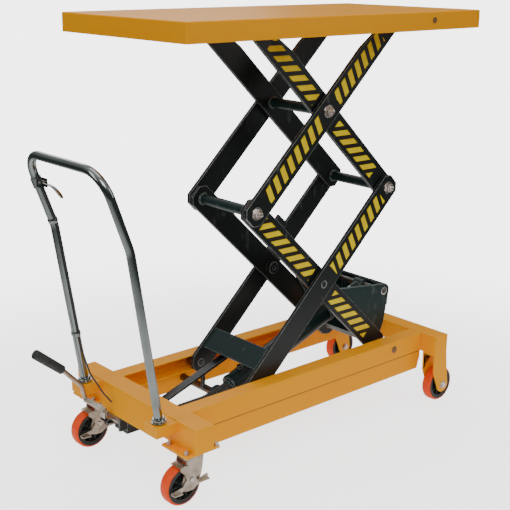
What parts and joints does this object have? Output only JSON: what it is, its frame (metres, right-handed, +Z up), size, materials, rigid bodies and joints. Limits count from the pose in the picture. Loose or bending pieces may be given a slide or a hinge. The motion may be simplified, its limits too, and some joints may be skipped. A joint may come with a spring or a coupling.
{
  "type": "mobile scissor lift table",
  "caption": "Mobile scissor lift table raised high: flat platform on crossed arms, push handle, foot pump pedal, braked castors.",
  "frame": {"origin": "middle of the overall box in plan, on the floor", "axes": "+X towards the fixed wheels, +Y to the operator's left, +Z up"},
  "size_m": [1.4794, 0.632, 1.398],
  "materials": {
    "yellow_paint": "semi-gloss powder coat, orange-yellow",
    "black_paint": "satin black paint",
    "teal_paint": "satin dark green-black paint",
    "chrome": "bright chrome plate",
    "zinc": "zinc-plated pressed steel",
    "steel": "turned steel, lightly oiled",
    "orange_tread": "cast polyurethane tread, orange",
    "black_core": "moulded nylon core, black",
    "rubber": "black rubber"
  },
  "bodies": {
    "base": {"base_rail_right": "yellow_paint", "base_rail_left": "yellow_paint", "base_skirt_right": "yellow_paint", "base_skirt_left": "yellow_paint", "castor_mount_right": "yellow_paint", "castor_mount_left": "yellow_paint", "handle_end_beam": "yellow_paint", "wheel_end_beam": "yellow_paint", "fixed_wheel_fork_right": "yellow_paint", "fixed_wheel_fork_left": "yellow_paint", "cylinder_foot_bar": "steel", "foot_pump": "black_paint", "hydraulic_hose": "rubber", "support_strut": "black_paint", "push_handle": "chrome", "release_bracket": "chrome", "release_cable": "rubber", "castor_top_plate_right": "zinc", "castor_top_plate_left": "zinc"},
    "lower_inner_frame": {"lower_inner_arm_right": "black_paint", "lower_inner_arm_left": "black_paint", "horn_bracket": "teal_paint", "horn_pin": "steel", "lower_centre_pin_right": "black_paint", "lower_centre_pin_left": "black_paint", "left_middle_shaft": "steel"},
    "lower_outer_frame": {"lower_outer_arm_right": "black_paint", "lower_outer_arm_left": "black_paint", "lower_tie_plate": "teal_paint"},
    "upper_outer_frame": {"upper_outer_arm_right": "black_paint", "upper_outer_arm_left": "black_paint"},
    "upper_inner_frame": {"upper_inner_arm_right": "black_paint", "upper_inner_arm_left": "black_paint", "right_middle_shaft": "steel", "upper_centre_shaft": "steel"},
    "platform": {"platform_pan": "yellow_paint", "platform_channel_right": "black_paint", "platform_channel_left": "black_paint"},
    "cylinder_rod_body": {"cylinder_rod": "chrome"},
    "cylinder_barrel_body": {"cylinder_barrel": "teal_paint"},
    "pedal": {"pedal_lever": "chrome", "pedal_grip": "rubber"},
    "plunger": {"pump_plunger": "chrome"},
    "release_lever_body": {"release_lever": "chrome"},
    "base_roller_right_body": {"base_roller_right": "steel"},
    "platform_roller_right_body": {"platform_roller_right": "steel"},
    "castor_right": {"castor_fork_right": "zinc"},
    "castor_wheel_right": {"castor_right_tyre": "orange_tread", "castor_right_core": "black_core"},
    "castor_brake_right": {"castor_brake_lever_right": "zinc"},
    "fixed_wheel_right": {"fixed_wheel_right_tyre": "orange_tread", "fixed_wheel_right_core": "black_core"},
    "base_roller_left_body": {"base_roller_left": "steel"},
    "platform_roller_left_body": {"platform_roller_left": "steel"},
    "castor_left": {"castor_fork_left": "zinc"},
    "castor_wheel_left": {"castor_left_tyre": "orange_tread", "castor_left_core": "black_core"},
    "castor_brake_left": {"castor_brake_lever_left": "zinc"},
    "fixed_wheel_left": {"fixed_wheel_left_tyre": "orange_tread", "fixed_wheel_left_core": "black_core"}
  },
  "joints": [
    {"name": "lift", "type": "hinge", "parent": "base", "child": "lower_inner_frame", "pos_m": [0.47616, 0, 0.23], "axis": [0, -1, 0], "range_deg": [0, 35.4]},
    {"name": "lower_cross", "type": "hinge", "parent": "lower_inner_frame", "child": "lower_outer_frame", "pos_m": [0.1782, 0, 0.51743], "axis": [0, -1, 0], "range_deg": [-71, 0]},
    {"name": "left_middle", "type": "hinge", "parent": "lower_inner_frame", "child": "upper_outer_frame", "pos_m": [-0.11976, 0, 0.80487], "axis": [0, -1, 0], "range_deg": [-71, 0]},
    {"name": "upper_cross", "type": "hinge", "parent": "upper_outer_frame", "child": "upper_inner_frame", "pos_m": [0.1782, 0, 1.0923], "axis": [0, -1, 0], "range_deg": [0, 71]},
    {"name": "platform_pivot", "type": "hinge", "parent": "upper_outer_frame", "child": "platform", "pos_m": [0.47616, 0, 1.37973], "axis": [0, -1, 0], "range_deg": [0, 35.5]},
    {"name": "cylinder_head", "type": "hinge", "parent": "lower_inner_frame", "child": "cylinder_rod_body", "pos_m": [0.5132, 0, 0.418], "axis": [0, -1, 0], "range_deg": [-33, 0]},
    {"name": "cylinder_stroke", "type": "slide", "parent": "cylinder_rod_body", "child": "cylinder_barrel_body", "axis": [0.9346, 0, 0.3556], "range_m": [0, 0.113]},
    {"name": "base_roller_right_spin", "type": "hinge", "parent": "lower_outer_frame", "child": "base_roller_right_body", "pos_m": [-0.11976, -0.171, 0.23], "axis": [0, 1, 0], "continuous": true},
    {"name": "platform_roller_right_spin", "type": "hinge", "parent": "upper_inner_frame", "child": "platform_roller_right_body", "pos_m": [-0.11976, -0.148, 1.37973], "axis": [0, 1, 0], "continuous": true},
    {"name": "castor_right_swivel", "type": "hinge", "parent": "base", "child": "castor_right", "pos_m": [-0.4568, -0.247, 0.14], "axis": [0, 0, 1], "continuous": true},
    {"name": "castor_right_roll", "type": "hinge", "parent": "castor_right", "child": "castor_wheel_right", "pos_m": [-0.4998, -0.247, 0.0635], "axis": [0, 1, 0], "continuous": true},
    {"name": "castor_right_brake", "type": "hinge", "parent": "castor_right", "child": "castor_brake_right", "pos_m": [-0.4798, -0.2765, 0.083], "axis": [0, -1, 0], "range_deg": [0, 5.5]},
    {"name": "fixed_wheel_right_roll", "type": "hinge", "parent": "base", "child": "fixed_wheel_right", "pos_m": [0.6762, -0.248, 0.0635], "axis": [0, 1, 0], "continuous": true},
    {"name": "base_roller_left_spin", "type": "hinge", "parent": "lower_outer_frame", "child": "base_roller_left_body", "pos_m": [-0.11976, 0.171, 0.23], "axis": [0, 1, 0], "continuous": true},
    {"name": "platform_roller_left_spin", "type": "hinge", "parent": "upper_inner_frame", "child": "platform_roller_left_body", "pos_m": [-0.11976, 0.148, 1.37973], "axis": [0, 1, 0], "continuous": true},
    {"name": "castor_left_swivel", "type": "hinge", "parent": "base", "child": "castor_left", "pos_m": [-0.4568, 0.247, 0.14], "axis": [0, 0, 1], "continuous": true},
    {"name": "castor_left_roll", "type": "hinge", "parent": "castor_left", "child": "castor_wheel_left", "pos_m": [-0.4998, 0.247, 0.0635], "axis": [0, 1, 0], "continuous": true},
    {"name": "castor_left_brake", "type": "hinge", "parent": "castor_left", "child": "castor_brake_left", "pos_m": [-0.4798, 0.2175, 0.083], "axis": [0, -1, 0], "range_deg": [0, 5.5]},
    {"name": "fixed_wheel_left_roll", "type": "hinge", "parent": "base", "child": "fixed_wheel_left", "pos_m": [0.6762, 0.248, 0.0635], "axis": [0, 1, 0], "continuous": true},
    {"name": "pedal_press", "type": "hinge", "parent": "base", "child": "pedal", "pos_m": [-0.5118, 0, 0.163], "axis": [0, -1, 0], "range_deg": [0, 32], "stiffness_Nm_per_rad": 6, "springref_deg": -20.05},
    {"name": "plunger_stroke", "type": "slide", "parent": "base", "child": "plunger", "axis": [0, 0, 1], "range_m": [0, 0.015]},
    {"name": "release_squeeze", "type": "hinge", "parent": "base", "child": "release_lever_body", "pos_m": [-0.67205, 0.168, 0.926], "axis": [-1, 0, 0], "range_deg": [0, 22], "stiffness_Nm_per_rad": 0.8, "springref_deg": -17.19}
  ],
  "couplings": [
    {"joint": "lower_cross", "follows": "lift", "ratio": -2},
    {"joint": "left_middle", "follows": "lift", "ratio": -2},
    {"joint": "upper_cross", "follows": "lift", "ratio": 2},
    {"joint": "platform_pivot", "follows": "lift", "ratio": 1},
    {"joint": "cylinder_head", "follows": "lift", "ratio": -0.9085},
    {"joint": "cylinder_stroke", "follows": "lift", "m_per_rad": 0.1801},
    {"joint": "plunger_stroke", "follows": "pedal_press", "m_per_rad": 0.026}
  ]
}
